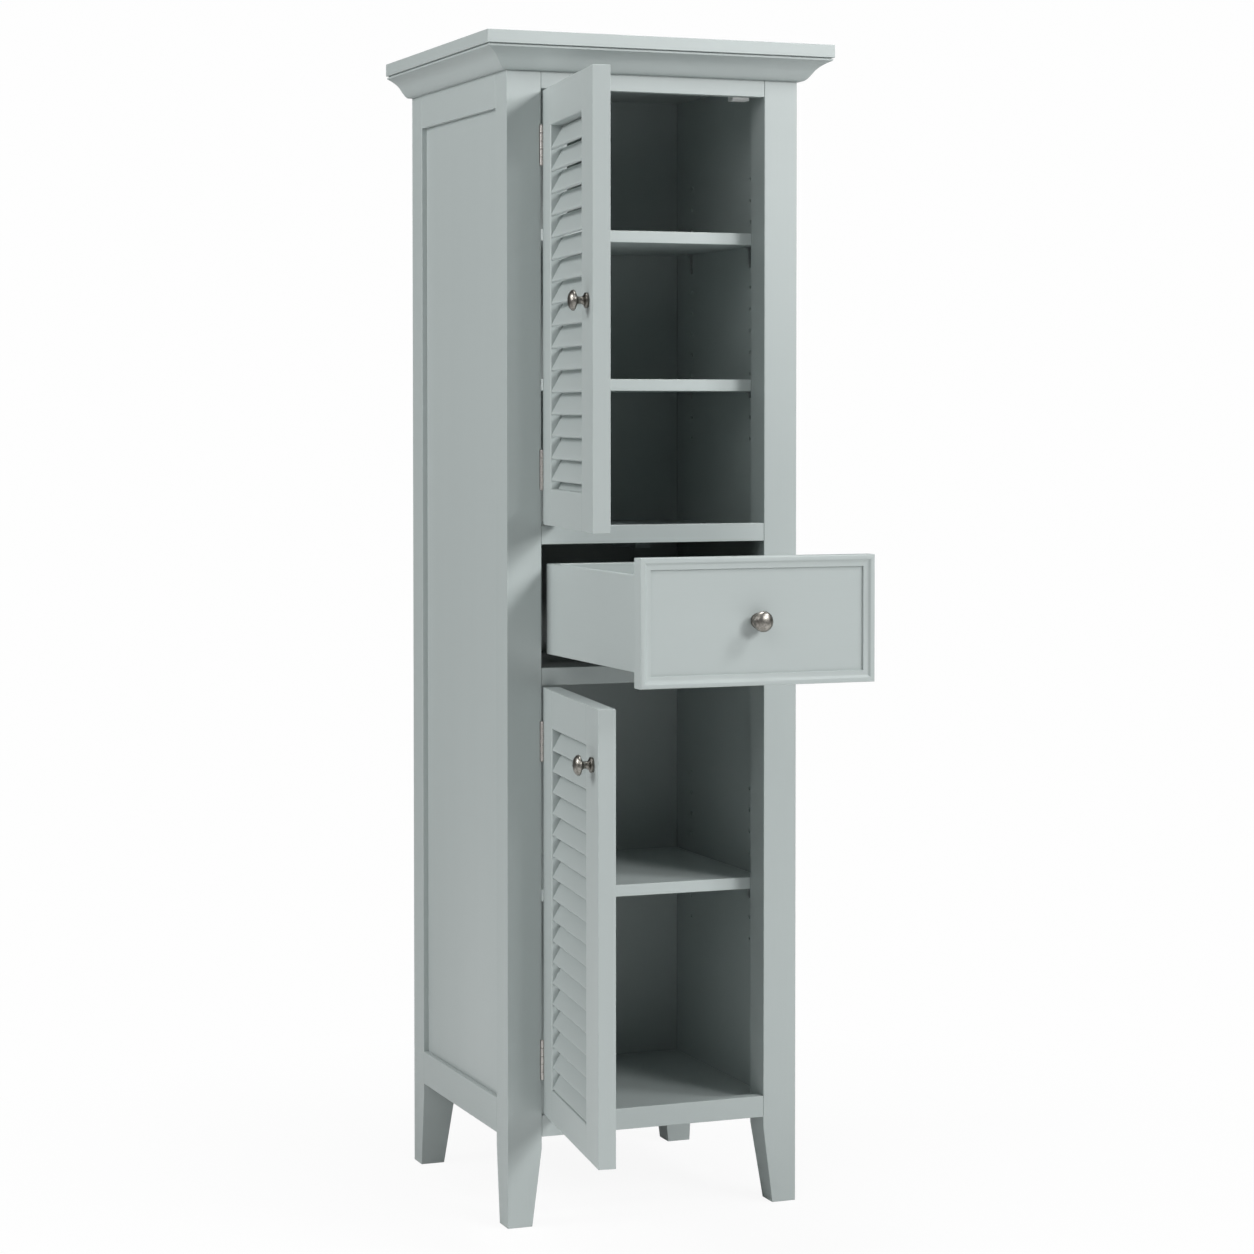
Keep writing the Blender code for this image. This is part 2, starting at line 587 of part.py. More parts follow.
def runner(slide):
    """Three-part telescopic runner under the drawer, and the kicker bar above the drawer."""
    steel = {part: material(part + "_steel", STEEL, 0.35, 1.0)
             for part in ("runner_fixed_rail", "runner_middle_rail", "runner_drawer_rail")}
    start, end = FRONT + RUNNER_START, FRONT + RUNNER_END
    floor = LOW_RAIL[1] + RUNNER_PLAY
    roof = DRAWER_BOTTOM[0] - GAP
    outline = channel(floor, floor + CHANNEL_HEIGHT, True)
    meshed(extruded("runner_fixed_rail", [outline], start, end, "Y", steel["runner_fixed_rail"]))
    outline = channel(roof - CHANNEL_HEIGHT, roof, False)
    near = FRONT + DRAWER_FRONT_THICKNESS + 2 * GAP
    meshed(extruded("runner_drawer_rail", [outline], near, end, "Y", steel["runner_drawer_rail"], slide))
    flange = CHANNEL_HALF - CHANNEL_WALL - RUNNER_PLAY
    low, high = floor + CHANNEL_WALL + RUNNER_PLAY, roof - CHANNEL_WALL - RUNNER_PLAY
    right = [
        (flange, low), (flange, low + FLANGE_THICKNESS), (WEB_HALF, low + FLANGE_THICKNESS),
        (WEB_HALF, high - FLANGE_THICKNESS), (flange, high - FLANGE_THICKNESS), (flange, high),
    ]
    outline = right + [(-x, z) for x, z in reversed(right)]
    halfway = bpy.data.objects.new("runner_middle_line", None)
    PARTS.objects.link(halfway)
    halfway.location = (0.0, -DRAWER_OUT / 2, 0.0)
    meshed(extruded("runner_middle_rail", [outline], start, end, "Y", steel["runner_middle_rail"], halfway))
    block("drawer_kicker", (KICKER_X - KICKER_HALF, FRONT + KICKER_START, KICKER_BOTTOM),
          (KICKER_X + KICKER_HALF, BACK_FACE - GAP, MID_RAIL[1] - LIP - BOARD - GAP), paint("drawer_kicker"))


clear_scene()
PARTS = collection("pantry_cabinet")
CUTTERS = collection("cutters")
posts()
carcass()
decks()
crown()
door("upper", UPPER_DOOR, UPPER_LOUVRE, UPPER_SLATS, UPPER_OPEN, sum(UPPER_DOOR) / 2)
door("lower", LOWER_DOOR, LOWER_LOUVRE, LOWER_SLATS, LOWER_OPEN, LOWER_DOOR[1] - LOWER_KNOB_DROP)
catches()
runner(drawer())
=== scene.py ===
"""Looks of the pantry cabinet: every board is rebuilt with eased edges over its CAD node, doors and drawer in
their own frames, with painted wood, aged nickel, pewter and zinc-plated steel made from nodes."""

import json
import math

import bmesh
import bpy
from mathutils import Matrix, Vector


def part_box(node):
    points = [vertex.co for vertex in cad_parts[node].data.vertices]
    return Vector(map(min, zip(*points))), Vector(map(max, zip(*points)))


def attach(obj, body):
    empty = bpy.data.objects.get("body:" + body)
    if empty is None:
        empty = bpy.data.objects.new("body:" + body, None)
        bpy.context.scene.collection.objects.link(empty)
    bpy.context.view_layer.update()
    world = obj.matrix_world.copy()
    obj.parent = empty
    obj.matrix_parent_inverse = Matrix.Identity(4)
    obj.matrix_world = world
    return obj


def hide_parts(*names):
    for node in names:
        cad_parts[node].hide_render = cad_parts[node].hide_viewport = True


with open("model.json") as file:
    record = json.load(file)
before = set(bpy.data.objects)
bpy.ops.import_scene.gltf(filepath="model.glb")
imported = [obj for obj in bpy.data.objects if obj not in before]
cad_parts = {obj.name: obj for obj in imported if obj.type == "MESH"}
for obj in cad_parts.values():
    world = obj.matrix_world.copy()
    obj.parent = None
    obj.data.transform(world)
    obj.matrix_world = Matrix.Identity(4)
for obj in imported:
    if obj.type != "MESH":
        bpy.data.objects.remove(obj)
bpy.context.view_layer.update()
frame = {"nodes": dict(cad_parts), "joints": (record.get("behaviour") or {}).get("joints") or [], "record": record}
NODES = frame["nodes"]
JOINTS = {j["name"]: j for j in frame["joints"]}
MM = 0.001

# Paint, in linear colour
PAINT_LIGHT = (0.388, 0.430, 0.425)
PAINT_DARK = (0.360, 0.401, 0.396)

EASE = 0.7 * MM
SHARP = 35.0  # degrees between two faces from which their edge is shaded sharp

# Louvres: a slat's section, then each door's count, height of the lowest slat's lower edge and pitch
SLAT_WIDTH, SLAT_THICKNESS, SLAT_LEAN = 37.0 * MM, 4.5 * MM, math.radians(28.5)
SLAT_ROUND = 1.7 * MM
LOUVRES = {"upper": (17, 1025.44 * MM, 30.66 * MM), "lower": (17, 204.3 * MM, 29.70 * MM)}
LIP_ROUND = 2.4 * MM  # of the louvre opening's edges
LIP_TOP = {"upper": 2.4 * MM, "lower": 4.0 * MM}  # the same, along the top

# Shelf pins and their holes
PIN_PITCH = 32.0 * MM
PIN_ROWS = (-117.0 * MM, 108.0 * MM)  # from the middle of the carcass's depth
PIN_SPANS = ((1.10, 1.50, 1.241), (0.35, 0.60, 0.562))  # lowest, highest and any one hole, in metres
HOLE_RADIUS, HOLE_DEPTH = 3.0 * MM, 9.0 * MM
STEM_RADIUS, STEM_DEPTH = 2.3 * MM, 7.0 * MM
TAB_HALF = 3.5 * MM  # half a pin's tab, along the wall
TAB_REACH = 10.0 * MM  # of the tab under the shelf, from the wall


# ---------------------------------------------------------------- materials
def node(tree, kind, place=(0, 0), **values):
    n = tree.nodes.new(kind)
    n.location = place
    for key, value in values.items():
        if key in n.inputs:
            n.inputs[key].default_value = value
        else:
            setattr(n, key, value)
    return n


def new_material(name):
    mat = bpy.data.materials.new(name)
    mat.use_nodes = True
    tree = mat.node_tree
    shader = tree.nodes["Principled BSDF"]
    coords = node(tree, "ShaderNodeTexCoord", (-1200, 0))
    return mat, tree, shader, coords


def mix_colour(tree, factor, a, b):
    n = tree.nodes.new("ShaderNodeMix")
    n.data_type = "RGBA"
    n.inputs[6].default_value = (*a, 1.0)
    n.inputs[7].default_value = (*b, 1.0)
    tree.links.new(factor, n.inputs[0])
    return n.outputs[2]


def map_range(tree, value, low, high, from_low=0.3, from_high=0.7):
    n = node(tree, "ShaderNodeMapRange")
    n.inputs["From Min"].default_value = from_low
    n.inputs["From Max"].default_value = from_high
    n.inputs["To Min"].default_value = low
    n.inputs["To Max"].default_value = high
    tree.links.new(value, n.inputs["Value"])
    return n.outputs["Result"]


def painted(name, grain="Z", light=PAINT_LIGHT, dark=PAINT_DARK, gloss=0.42):
    """Sprayed satin paint over wood: faint grain along the piece, fine orange peel, slow changes of tone."""
    mat, tree, shader, coords = new_material(name)
    stretch = {"X": (0.06, 1.0, 1.0), "Y": (1.0, 0.06, 1.0), "Z": (1.0, 1.0, 0.06)}[grain]
    along = node(tree, "ShaderNodeMapping", (-1000, 100), Scale=stretch)
    tree.links.new(coords.outputs["Object"], along.inputs["Vector"])
    grain_noise = node(tree, "ShaderNodeTexNoise", (-800, 200), Scale=320.0, Detail=5.0, Roughness=0.62)
    tree.links.new(along.outputs["Vector"], grain_noise.inputs["Vector"])
    tone = node(tree, "ShaderNodeTexNoise", (-800, 0), Scale=4.5, Detail=3.0, Roughness=0.5)
    tree.links.new(along.outputs["Vector"], tone.inputs["Vector"])
    peel = node(tree, "ShaderNodeTexNoise", (-800, -200), Scale=900.0, Detail=2.0, Roughness=0.5)
    tree.links.new(coords.outputs["Object"], peel.inputs["Vector"])
    blend = node(tree, "ShaderNodeMath", (-600, 60), operation="MULTIPLY_ADD")
    blend.inputs[1].default_value = 0.35
    tree.links.new(grain_noise.outputs["Fac"], blend.inputs[0])
    tree.links.new(map_range(tree, tone.outputs["Fac"], 0.0, 0.65), blend.inputs[2])
    tree.links.new(mix_colour(tree, blend.outputs[0], dark, light), shader.inputs["Base Color"])
    tree.links.new(map_range(tree, tone.outputs["Fac"], gloss + 0.05, gloss - 0.04),
                   shader.inputs["Roughness"])
    fine = node(tree, "ShaderNodeBump", (-300, -300), Strength=0.10, Distance=0.0002)
    tree.links.new(peel.outputs["Fac"], fine.inputs["Height"])
    coarse = node(tree, "ShaderNodeBump", (-300, -100), Strength=0.14, Distance=0.0004)
    tree.links.new(grain_noise.outputs["Fac"], coarse.inputs["Height"])
    tree.links.new(fine.outputs["Normal"], coarse.inputs["Normal"])
    tree.links.new(coarse.outputs["Normal"], shader.inputs["Normal"])
    shader.inputs["Specular IOR Level"].default_value = 0.42
    return mat


def metal(name, light, dark, roughness, scale=220.0, brushed=None, crevice=None, metallic=1.0):
    """Metal with mottled tone: brushed stretches the mottling along an axis, crevice darkens the foot."""
    mat, tree, shader, coords = new_material(name)
    shader.inputs["Metallic"].default_value = metallic
    stretch = {None: (1, 1, 1), "X": (0.03, 1, 1), "Y": (1, 0.03, 1), "Z": (1, 1, 0.03)}[brushed]
    along = node(tree, "ShaderNodeMapping", (-1000, 100), Scale=stretch)
    tree.links.new(coords.outputs["Object"], along.inputs["Vector"])
    mottle = node(tree, "ShaderNodeTexNoise", (-800, 100), Scale=scale, Detail=6.0, Roughness=0.6)
    tree.links.new(along.outputs["Vector"], mottle.inputs["Vector"])
    factor = map_range(tree, mottle.outputs["Fac"], 0.0, 1.0, 0.35, 0.68)
    if crevice:
        apart = node(tree, "ShaderNodeSeparateXYZ", (-1000, -200))
        tree.links.new(coords.outputs["Object"], apart.inputs["Vector"])
        height = map_range(tree, apart.outputs["Z"], 0.15, 1.0, *crevice)
        joined = node(tree, "ShaderNodeMath", (-500, 0), operation="MULTIPLY")
        tree.links.new(factor, joined.inputs[0])
        tree.links.new(height, joined.inputs[1])
        factor = joined.outputs[0]
    tree.links.new(mix_colour(tree, factor, dark, light), shader.inputs["Base Color"])
    tree.links.new(map_range(tree, mottle.outputs["Fac"], roughness + 0.07, roughness - 0.05),
                   shader.inputs["Roughness"])
    bump = node(tree, "ShaderNodeBump", (-300, -200), Strength=0.12, Distance=0.0002)
    tree.links.new(mottle.outputs["Fac"], bump.inputs["Height"])
    tree.links.new(bump.outputs["Normal"], shader.inputs["Normal"])
    return mat


def plastic(name, light, dark):
    mat, tree, shader, coords = new_material(name)
    grain = node(tree, "ShaderNodeTexNoise", (-800, 100), Scale=1400.0, Detail=3.0)
    tree.links.new(coords.outputs["Object"], grain.inputs["Vector"])
    tree.links.new(mix_colour(tree, grain.outputs["Fac"], dark, light), shader.inputs["Base Color"])
    tree.links.new(map_range(tree, grain.outputs["Fac"], 0.5, 0.38), shader.inputs["Roughness"])
    bump = node(tree, "ShaderNodeBump", (-300, -200), Strength=0.15, Distance=0.0001)
    tree.links.new(grain.outputs["Fac"], bump.inputs["Height"])
    tree.links.new(bump.outputs["Normal"], shader.inputs["Normal"])
    return mat


PAINT = {axis: painted("satin_paint_along_" + axis.lower(), axis) for axis in "XYZ"}
# The shelves' paint is a lighter copy of the satin paint: painted light, standing in for the brighter light on the
# shelves' front edges
SHELF_PAINT_WITH_PAINTED_LIGHT = painted("satin_paint_shelves_painted_light", "X", (0.465, 0.514, 0.508), (0.432, 0.480, 0.473))
PEWTER = metal("aged_pewter", (0.37, 0.355, 0.325), (0.15, 0.143, 0.128), 0.36, 260.0, None, (0.001, 0.016))
NICKEL = metal("aged_nickel", (0.62, 0.585, 0.56), (0.45, 0.425, 0.40), 0.34, 500.0, metallic=0.5)
STEEL = metal("zinc_plated_steel", (0.62, 0.63, 0.64), (0.42, 0.43, 0.44), 0.36, 90.0, "Y")
PLASTIC = plastic("catch_plastic", (0.78, 0.79, 0.78), (0.66, 0.67, 0.66))


# ---------------------------------------------------------------- mesh helpers
def linked(name, data):
    obj = bpy.data.objects.new(name, data)
    bpy.context.scene.collection.objects.link(obj)
    return obj


def bake(obj, modifier):
    """Replaces an object's mesh by what its modifier makes of it."""
    bpy.context.view_layer.update()
    made = bpy.data.meshes.new_from_object(obj.evaluated_get(bpy.context.evaluated_depsgraph_get()))
    obj.modifiers.remove(modifier)
    obj.data = made


def finish_mesh(bm, name, mat, body, replaced=(), place=None, angle=SHARP):
    """Makes an object of a bmesh, shades it smooth but for its sharp edges, and puts it on its CAD body."""
    bmesh.ops.recalc_face_normals(bm, faces=bm.faces)
    data = bpy.data.meshes.new(name)
    bm.to_mesh(data)
    bm.free()
    data.shade_smooth()
    data.set_sharp_from_angle(angle=math.radians(angle))
    for m in mat if isinstance(mat, (list, tuple)) else [mat]:
        data.materials.append(m)
    obj = linked(name, data)
    if place is not None:
        obj.matrix_world = place
    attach(obj, body)
    if replaced:
        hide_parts(*replaced)
    return obj


def settle_normals(obj):
    """Weights the normals by face area: a board's flat faces shade flat right up to its eased edges."""
    modifier = obj.modifiers.new("weights", "WEIGHTED_NORMAL")
    modifier.mode, modifier.keep_sharp = "FACE_AREA", True
    bake(obj, modifier)


def block(bm, low, high):
    for v in bmesh.ops.create_cube(bm, size=1.0)["verts"]:
        v.co = Vector(((a + b) / 2 + c * (b - a) for a, b, c in zip(low, high, v.co)))


def ease(bm, width=EASE, segments=3, keep=None):
    """Rounds the edges of a closed bmesh, all but flat ones and those that keep says to leave."""
    edges = [e for e in bm.edges if len(e.link_faces) == 2 and e.calc_face_angle(0.0) > math.radians(12)]
    if keep:
        edges = [e for e in edges if not keep(e)]
    bmesh.ops.bevel(bm, geom=edges, offset=width, segments=segments, profile=0.5, affect="EDGES",
                    clamp_overlap=True)


def node_bmesh(name, inverse=None):
    """The CAD node's mesh with its flat faces whole again, in world space or through a matrix."""
    bm = bmesh.new()
    bm.from_mesh(NODES[name].data)
    bmesh.ops.remove_doubles(bm, verts=bm.verts, dist=2e-5)
    bmesh.ops.dissolve_limit(bm, angle_limit=math.radians(1.0), verts=bm.verts, edges=bm.edges)
    if inverse is not None:
        bmesh.ops.transform(bm, matrix=inverse, verts=bm.verts)
    return bm


def body_of(name):
    return next(b for b, members in frame["record"]["behaviour"]["bodies"].items() if name in members)


def refined(name, mat, width=EASE, segments=3, cut=None):
    """Replaces a board's CAD node by the same board with eased edges, with holes or pockets cut if asked."""
    bm = node_bmesh(name)
    ease(bm, width, segments)
    obj = finish_mesh(bm, name + "_finish", mat, body_of(name), [name])
    if cut:
        carve(obj, cut)
    settle_normals(obj)


def carve(obj, fill):
    """Cuts from obj the closed shapes that fill puts in a bmesh, in obj's own space."""
    bm = bmesh.new()
    fill(bm)
    data = bpy.data.meshes.new("cutter")
    bmesh.ops.recalc_face_normals(bm, faces=bm.faces)
    bm.to_mesh(data)
    bm.free()
    cutter = linked("cutter", data)
    cutter.matrix_world = obj.matrix_world.copy()
    modifier = obj.modifiers.new("cut", "BOOLEAN")
    modifier.operation, modifier.solver, modifier.object = "DIFFERENCE", "EXACT", cutter
    modifier.use_self = False
    bake(obj, modifier)
    obj.data.shade_smooth()
    obj.data.set_sharp_from_angle(angle=math.radians(SHARP))
    bpy.data.objects.remove(cutter, do_unlink=True)


def skin(bm, loops):
    """Joins loops of vertices, each to the next, and closes the first and the last."""
    for a, b in zip(loops, loops[1:]):
        for i in range(len(a)):
            j = (i + 1) % len(a)
            bm.faces.new((a[i], a[j], b[j], b[i]))
    bm.faces.new(loops[0])
    bm.faces.new(loops[-1])


def prism(bm, outline, low, high):
    """A closed upright prism over an outline of (x, y) points."""
    skin(bm, [[bm.verts.new((x, y, z)) for x, y in outline] for z in (low, high)])


def rings(bm, rows):
    """A closed solid from nested rings of corners."""
    skin(bm, [[bm.verts.new(c) for c in row] for row in rows])


def lathe(bm, profile, steps=48, matrix=Matrix.Identity(4)):
    """Turns a profile of (radius, height) pairs, from one end of the axis to the other, about Z."""
    loops = []
    for r, h in profile:
        if r < 1e-6:
            loops.append([bm.verts.new(matrix @ Vector((0.0, 0.0, h)))])
        else:
            loops.append([bm.verts.new(matrix @ Vector((r * math.cos(2 * math.pi * i / steps),
                                                        r * math.sin(2 * math.pi * i / steps), h)))
                          for i in range(steps)])
    for a, b in zip(loops, loops[1:]):
        for i in range(steps):
            j = (i + 1) % steps
            if len(a) == 1:
                bm.faces.new((a[0], b[i], b[j]))
            elif len(b) == 1:
                bm.faces.new((a[i], b[0], a[j]))
            else:
                bm.faces.new((a[i], b[i], b[j], a[j]))


def smooth_curve(points, steps=6):
    """A Catmull-Rom curve through the points."""
    out = []
    ps = [points[0]] + list(points) + [points[-1]]
    for p0, p1, p2, p3 in zip(ps, ps[1:], ps[2:], ps[3:]):
        for i in range(steps):
            t = i / steps
            out.append(tuple(
                0.5 * (2 * b + (c - a) * t + (2 * a - 5 * b + 4 * c - d) * t * t
                       + (3 * b - a - 3 * c + d) * t ** 3)
                for a, b, c, d in zip(p0, p1, p2, p3)))
    return out + [tuple(points[-1])]


def cylinder(bm, radius, low, high, steps, matrix):
    lathe(bm, [(0.0, low), (radius, low), (radius, high), (0.0, high)], steps, matrix)


# ---------------------------------------------------------------- carcass
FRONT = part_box("front_right_post")[0].y
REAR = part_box("rear_right_post")[1].y
MIDDLE_Y = (FRONT + REAR) / 2
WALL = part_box("right_side_board")[0].x

ALONG_X = ["top_rail", "middle_rail", "low_rail", "bottom_rail", "back_top_rail", "back_bottom_rail"]
ALONG_Y = ["left_side_top_rail", "right_side_top_rail", "left_side_bottom_rail", "right_side_bottom_rail",
           "drawer_kicker"]
for n in ALONG_X:
    refined(n, PAINT["X"])
for n in ALONG_Y:
    refined(n, PAINT["Y"], 0.8 * MM)
for n in ["front_right_post", "rear_left_post", "rear_right_post"]:
    refined(n, PAINT["Z"], 0.9 * MM)
for n in ["top_board", "upper_deck", "drawer_deck", "bottom_deck"]:
    refined(n, PAINT["X"], 0.5 * MM, 2)
refined("back_panel", PAINT["Z"], 0.4 * MM, 2)


def pin_heights(low, high, through):
    first = math.ceil((low - through) / PIN_PITCH)
    last = math.floor((high - through) / PIN_PITCH)
    return [through + k * PIN_PITCH for k in range(first, last + 1)]


HOLE_HEIGHTS = [z for span in PIN_SPANS for z in pin_heights(*span)]


def into_wall(side, y, z):
    """Matrix whose Z axis runs into a side board from its inner face."""
    turn = Matrix.Rotation(side * math.pi / 2, 4, "Y")
    return Matrix.Translation((side * WALL, y, z)) @ turn


def pin_holes(side):
    """The two rows of shelf-pin holes in a side board's inner face, above and below the drawer."""
    def fill(bm):
        for y in PIN_ROWS:
            for z in HOLE_HEIGHTS:
                cylinder(bm, HOLE_RADIUS, -1.0 * MM, HOLE_DEPTH, 16, into_wall(side, MIDDLE_Y + y, z))
    return fill


def shelf(name):
    """A shelf with its four pins: each has a stem in a hole, an upright on the wall, a tab above."""
    bm = node_bmesh(name)
    ease(bm, 0.9 * MM)
    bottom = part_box(name)[0].z
    hole = max(z for z in HOLE_HEIGHTS if z < bottom - 2.6 * MM)
    for side in (-1, 1):
        for y in (MIDDLE_Y + row for row in PIN_ROWS):
            before = set(bm.faces)
            cylinder(bm, STEM_RADIUS, -2.0 * MM, STEM_DEPTH, 14, into_wall(side, y, hole))
            for reach, foot in ((1.8 * MM, hole - 3.0 * MM), (TAB_REACH, bottom - 1.6 * MM)):
                xs = sorted((side * (WALL - 0.4 * MM), side * (WALL - reach)))
                block(bm, (xs[0], y - TAB_HALF, foot), (xs[1], y + TAB_HALF, bottom - 0.2 * MM))
            for f in set(bm.faces) - before:
                f.material_index = 1
    # The shelves take the lighter paint, which is painted light for their brighter front edges
    settle_normals(finish_mesh(bm, name + "_finish", [SHELF_PAINT_WITH_PAINTED_LIGHT, STEEL], "carcass", [name]))


for n in ("upper_shelf", "middle_shelf", "lower_shelf"):
    shelf(n)

for side, n in ((1, "right_side_board"), (-1, "left_side_board")):
    refined(n, PAINT["Z"], 0.5 * MM, 2, pin_holes(side))

# ---------------------------------------------------------------- doors
# Hinges, measured from the hinge line: x through a leaf, y into the cabinet
HINGE_HEIGHT = 56.5 * MM
HINGE_INSET = 76.5 * MM  # of a hinge's middle from the door's end
LEAF_FACES = (0.78 * MM, 1.8 * MM)
LEAF_FRONT, LEAF_BACK = 3.1 * MM, 21.1 * MM
BARREL_RADIUS = 2.8 * MM
BARREL_EASE = 0.3 * MM
KNUCKLES, KNUCKLE_GAP = 5, 0.4 * MM
HINGE_SCREWS = ((9.0, -19.0), (15.5, 0.0), (9.0, 19.0))  # y and z from the hinge's middle, in mm
POCKET = [(-0.4, -3.4), (3.2, -3.4), (3.2, 3.1), (2.1, 3.1), (2.1, 21.5), (-0.4, 21.5)]  # x and y, in mm

# Turned and moulded outlines, in mm: radius and height
KNOB_HEAD = [(0.0, 26.5), (3.2, 26.3), (6.4, 25.7), (9.4, 24.5), (11.8, 22.8), (13.3, 20.9), (13.9, 19.2),
             (13.5, 17.8), (11.9, 16.6), (9.2, 15.6), (6.9, 14.6), (5.5, 13.1), (4.95, 11.2), (4.9, 9.0),
             (5.4, 7.2), (6.7, 5.6), (8.5, 4.5)]
KNOB_FOOT = [(9.7, 4.0), (10.2, 3.4), (10.35, 2.6), (10.35, 0.5), (10.1, 0.0), (0.0, 0.0)]
PAN_SCREW = [(0.0, 1.0), (0.6, 1.0), (0.9, 1.9), (2.6, 1.8), (3.9, 1.1), (4.2, 0.0), (0.0, 0.0)]

# Strike plate, in mm: half its length, half its height, and its screws' distance from its middle
STRIKE_HALF_X, STRIKE_HALF_Z, STRIKE_SCREW = 14, 6, 9


def door_frame(prefix):
    """Matrix from the closed door's own space, its origin on the hinge line, to where it stands at rest."""
    joint = JOINTS[prefix + "_door_hinge"]
    x, y, _ = joint["pos_m"]
    return Matrix.Translation((x, y, 0.0)) @ Matrix.Rotation(-math.radians(joint["range_deg"][1]), 4, "Z")


def local_box(name, inverse):
    points = [inverse @ v.co for v in NODES[name].data.vertices]
    return (Vector(min(p[i] for p in points) for i in range(3)),
            Vector(max(p[i] for p in points) for i in range(3)))


def hinge_pockets(sx, heights):
    """Notches for the barrels and recesses for the leaves, drawn about the hinge line: sx is -1 for the post
    and 1 for the stile."""
    def fill(bm):
        for z in heights:
            half = HINGE_HEIGHT / 2 + 0.3 * MM
            prism(bm, [(sx * x * MM, y * MM) for x, y in POCKET], z - half, z + half)
    return fill


def opening_lip(boxes, top_round):
    """Rounds the edges of a door's louvre opening, front and back, by a flared solid over all four sides."""
    left, right = boxes["hinge_stile"][1].x, boxes["free_stile"][0].x
    low, high = boxes["bottom_rail"][1].z, boxes["top_rail"][0].z
    front, back = boxes["hinge_stile"][0].y, boxes["hinge_stile"][1].y

    def fill(bm):
        for y, inward in ((front, 1.0), (back, -1.0)):
            steps = [(1.0, -1.0 * MM)]
            for i in range(7):
                a = math.radians(15 * i)
                steps.append((1.0 - math.sin(a), LIP_ROUND * (1.0 - math.cos(a))))
            steps.append((-0.25, LIP_ROUND + 0.3 * MM))
            rows = []
            for share, depth in steps:
                o, t, d = share * LIP_ROUND, share * top_round, y + inward * depth
                rows.append([(left - o, d, low - o), (right + o, d, low - o), (right + o, d, high + t),
                             (left - o, d, high + t)])
            rings(bm, rows)
    return fill


def slats(bm, left, right, y, low, high, count, lowest, pitch):
    """Slats with rounded long edges, leaning back from their lower front edge, cut off inside the rails."""
    rise = (SLAT_WIDTH * math.cos(SLAT_LEAN) + SLAT_THICKNESS * math.sin(SLAT_LEAN)) / 2
    t, w, r = SLAT_THICKNESS / 2, SLAT_WIDTH / 2, SLAT_ROUND
    corners = [(t - r, w - r, 0), (-t + r, w - r, 90), (-t + r, -w + r, 180), (t - r, -w + r, 270)]
    section = []
    for cy, cz, start in corners:
        for i in range(6):
            a = math.radians(start + 90 * i / 5)
            section.append((cy + r * math.cos(a), cz + r * math.sin(a)))
    lean = -SLAT_LEAN
    for k in range(count):
        ends = []
        for x in (left, right):
            ends.append([bm.verts.new((x, y + sy * math.cos(lean) - sz * math.sin(lean),
                                       lowest + rise + k * pitch + sy * math.sin(lean) + sz * math.cos(lean)))
                         for sy, sz in section])
        skin(bm, ends)
    for level, up in ((low, -1.0), (high, 1.0)):
        bmesh.ops.bisect_plane(bm, geom=bm.verts[:] + bm.edges[:] + bm.faces[:], plane_co=(0.0, 0.0, level),
                               plane_no=(0.0, 0.0, up), clear_outer=True)
        bmesh.ops.holes_fill(bm, edges=[e for e in bm.edges if e.is_boundary], sides=0)


def knob(name, node_name, body):
    """A turned mushroom knob, placed by its CAD node: its foot is read from the node's mesh, its axis points out
    of the drawer's or the door's face.
    """
    source = NODES[node_name].data
    points = [v.co.copy() for v in source.vertices]
    centre = sum(points, Vector()) / len(points)
    if body == "drawer":
        axis = Vector((0.0, -1.0, 0.0))
    else:
        axis = (door_frame(body.split("_")[0]).to_3x3() @ Vector((0.0, -1.0, 0.0))).normalized()
    low = min((p - centre).dot(axis) for p in points)
    z_mid = (min(p.z for p in points) + max(p.z for p in points)) / 2
    flat = axis.cross(Vector((0, 0, 1)))
    sideways = (min(p.dot(flat) for p in points) + max(p.dot(flat) for p in points)) / 2
    base = axis * (centre.dot(axis) + low) + flat * sideways + Vector((0, 0, z_mid))
    place = Matrix.Translation(base) @ axis.to_track_quat("Z", "Y").to_matrix().to_4x4()
    bm = bmesh.new()
    lathe(bm, [(r * MM, h * MM) for r, h in smooth_curve(KNOB_HEAD, 4) + KNOB_FOOT], 64)
    finish_mesh(bm, name, PEWTER, body, [node_name], place, 50.0)


def screw_head(bm, matrix, radius=3.0 * MM):
    """A countersunk screw head with a round recess, its face at the matrix's XY plane."""
    rim = [(0.0, -0.55 * MM), (radius * 0.12, -0.5 * MM), (radius * 0.22, -0.06 * MM),
           (radius * 0.85, 0.02 * MM), (radius, -0.12 * MM), (radius * 0.9, -0.9 * MM), (0.0, -0.9 * MM)]
    lathe(bm, rim, 20, matrix)


